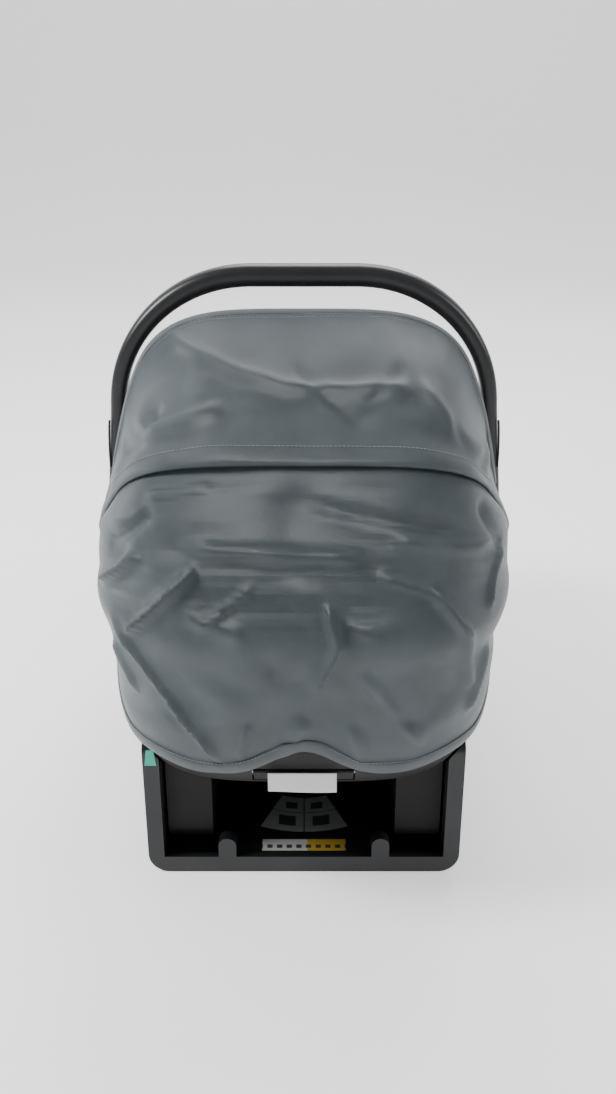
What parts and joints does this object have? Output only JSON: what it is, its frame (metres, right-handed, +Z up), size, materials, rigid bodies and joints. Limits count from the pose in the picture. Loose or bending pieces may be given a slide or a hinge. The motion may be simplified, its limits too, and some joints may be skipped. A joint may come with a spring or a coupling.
{
  "type": "infant car seat",
  "caption": "Rear-facing infant carrier with carry handle and folding canopy, standing on its vehicle base.",
  "frame": {"origin": "centre of the base's underside, on the surface it stands on", "axes": "+Z up, +Y from the head end towards the foot end, +X to the right seen from the head end"},
  "size_m": [0.472, 0.7, 0.637],
  "materials": {
    "base_plastic": "satin, fine moulded grain",
    "shell_plastic": "matt, fine moulded grain",
    "handle_plastic": "satin, fine moulded grain",
    "canopy_fabric": "fine twill with a slight sheen",
    "pad_fabric": "soft knitted cover",
    "insert_fabric": "brushed soft cover",
    "webbing": "woven webbing",
    "foam": "beaded foam",
    "steel": "satin",
    "buckle_plastic": "satin",
    "button_red": "smooth",
    "button_grey": "satin",
    "guide_blue": "satin",
    "marker_teal": "satin",
    "label_grey": "printed film",
    "label_two_tone": "printed film",
    "tag_white": "woven tape",
    "clear_window": "clear",
    "ball_orange": "smooth",
    "cable_black": "smooth",
    "bow_plastic": "satin"
  },
  "bodies": {
    "base": {"base_shell": "base_plastic", "latch_bars": "steel", "belt_guide_left": "guide_blue", "belt_guide_right": "guide_blue", "belt_marker": "marker_teal", "level_housing": "button_grey", "level_window": "clear_window", "level_ball": "ball_orange", "anchor_strap": "webbing", "anchor_connector_left": "steel", "anchor_connector_right": "steel", "base_label_upper": "label_grey", "base_label_lower": "label_two_tone", "recline_pin": "steel"},
    "recline_foot": {"recline_foot": "base_plastic"},
    "carrier": {"carrier_shell": "shell_plastic", "rocker_left": "shell_plastic", "rocker_right": "shell_plastic", "hub_boss_left": "shell_plastic", "hub_boss_right": "shell_plastic", "pivot_pins": "steel", "foam_liner": "foam", "seat_pad": "pad_fabric", "body_insert": "insert_fabric", "head_insert": "insert_fabric", "shoulder_straps": "webbing", "hip_straps": "webbing", "crotch_strap": "webbing", "buckle_body": "buckle_plastic", "buckle_tongues": "steel", "chest_clip_left": "buckle_plastic", "chest_clip_right": "buckle_plastic", "adjuster_housing": "shell_plastic", "adjuster_pin": "steel", "belt_hook_left": "guide_blue", "belt_hook_right": "guide_blue", "law_tag": "tag_white", "lever_pin": "steel", "release_cable": "cable_black", "latch_bracket": "steel", "latch_spring": "steel", "canopy_apron": "canopy_fabric", "canopy_rear_panel": "canopy_fabric"},
    "buckle_button": {"buckle_button": "button_red"},
    "adjuster_lever": {"adjuster_lever": "button_grey"},
    "release_lever": {"release_lever": "shell_plastic"},
    "latch": {"latch_hooks": "steel"},
    "handle": {"carry_handle": "handle_plastic"},
    "handle_button_left": {"handle_button_left": "button_grey"},
    "handle_button_right": {"handle_button_right": "button_grey"},
    "canopy_mid": {"canopy_mid_bow": "bow_plastic", "canopy_front_panel": "canopy_fabric"},
    "canopy_front": {"canopy_front_bow": "bow_plastic"}
  },
  "joints": [
    {"name": "carrier_lift", "type": "slide", "parent": "base", "child": "carrier", "axis": [0, 0, 1], "range_m": [0, 0.22]},
    {"name": "recline_foot_flip", "type": "hinge", "parent": "base", "child": "recline_foot", "pos_m": [0, 0.262, 0.005], "axis": [1, 0, 0], "range_deg": [0, 95]},
    {"name": "handle_swing", "type": "hinge", "parent": "carrier", "child": "handle", "pos_m": [0, -0.045, 0.295], "axis": [1, 0, 0], "range_deg": [-80, 76]},
    {"name": "handle_button_left_press", "type": "slide", "parent": "handle", "child": "handle_button_left", "axis": [1, 0, 0], "range_m": [0, 0.004], "stiffness_N_per_m": 600},
    {"name": "handle_button_right_press", "type": "slide", "parent": "handle", "child": "handle_button_right", "axis": [-1, 0, 0], "range_m": [0, 0.004], "stiffness_N_per_m": 600},
    {"name": "canopy_mid_fold", "type": "hinge", "parent": "carrier", "child": "canopy_mid", "pos_m": [0, -0.045, 0.295], "axis": [1, 0, 0], "range_deg": [0, 15], "deforming": ["canopy_rear_panel"]},
    {"name": "canopy_front_fold", "type": "hinge", "parent": "canopy_mid", "child": "canopy_front", "pos_m": [0, -0.045, 0.295], "axis": [1, 0, 0], "range_deg": [0, 27], "deforming": ["canopy_front_panel"]},
    {"name": "release_lever_pull", "type": "hinge", "parent": "carrier", "child": "release_lever", "pos_m": [0, -0.337, 0.175], "axis": [-1, 0, 0], "range_deg": [0, 18], "stiffness_Nm_per_rad": 0.6},
    {"name": "latch_turn", "type": "hinge", "parent": "carrier", "child": "latch", "pos_m": [0, -0.038, 0.057], "axis": [1, 0, 0], "range_deg": [0, 36.5]},
    {"name": "buckle_button_press", "type": "slide", "parent": "carrier", "child": "buckle_button", "axis": [0, 0, -1], "range_m": [0, 0.004], "stiffness_N_per_m": 500},
    {"name": "adjuster_lever_press", "type": "hinge", "parent": "carrier", "child": "adjuster_lever", "pos_m": [0, 0.337, 0.24], "axis": [1, 0, 0], "range_deg": [-4, 0], "stiffness_Nm_per_rad": 0.4}
  ],
  "couplings": [
    {"joint": "latch_turn", "follows": "release_lever_pull", "ratio": 2}
  ]
}
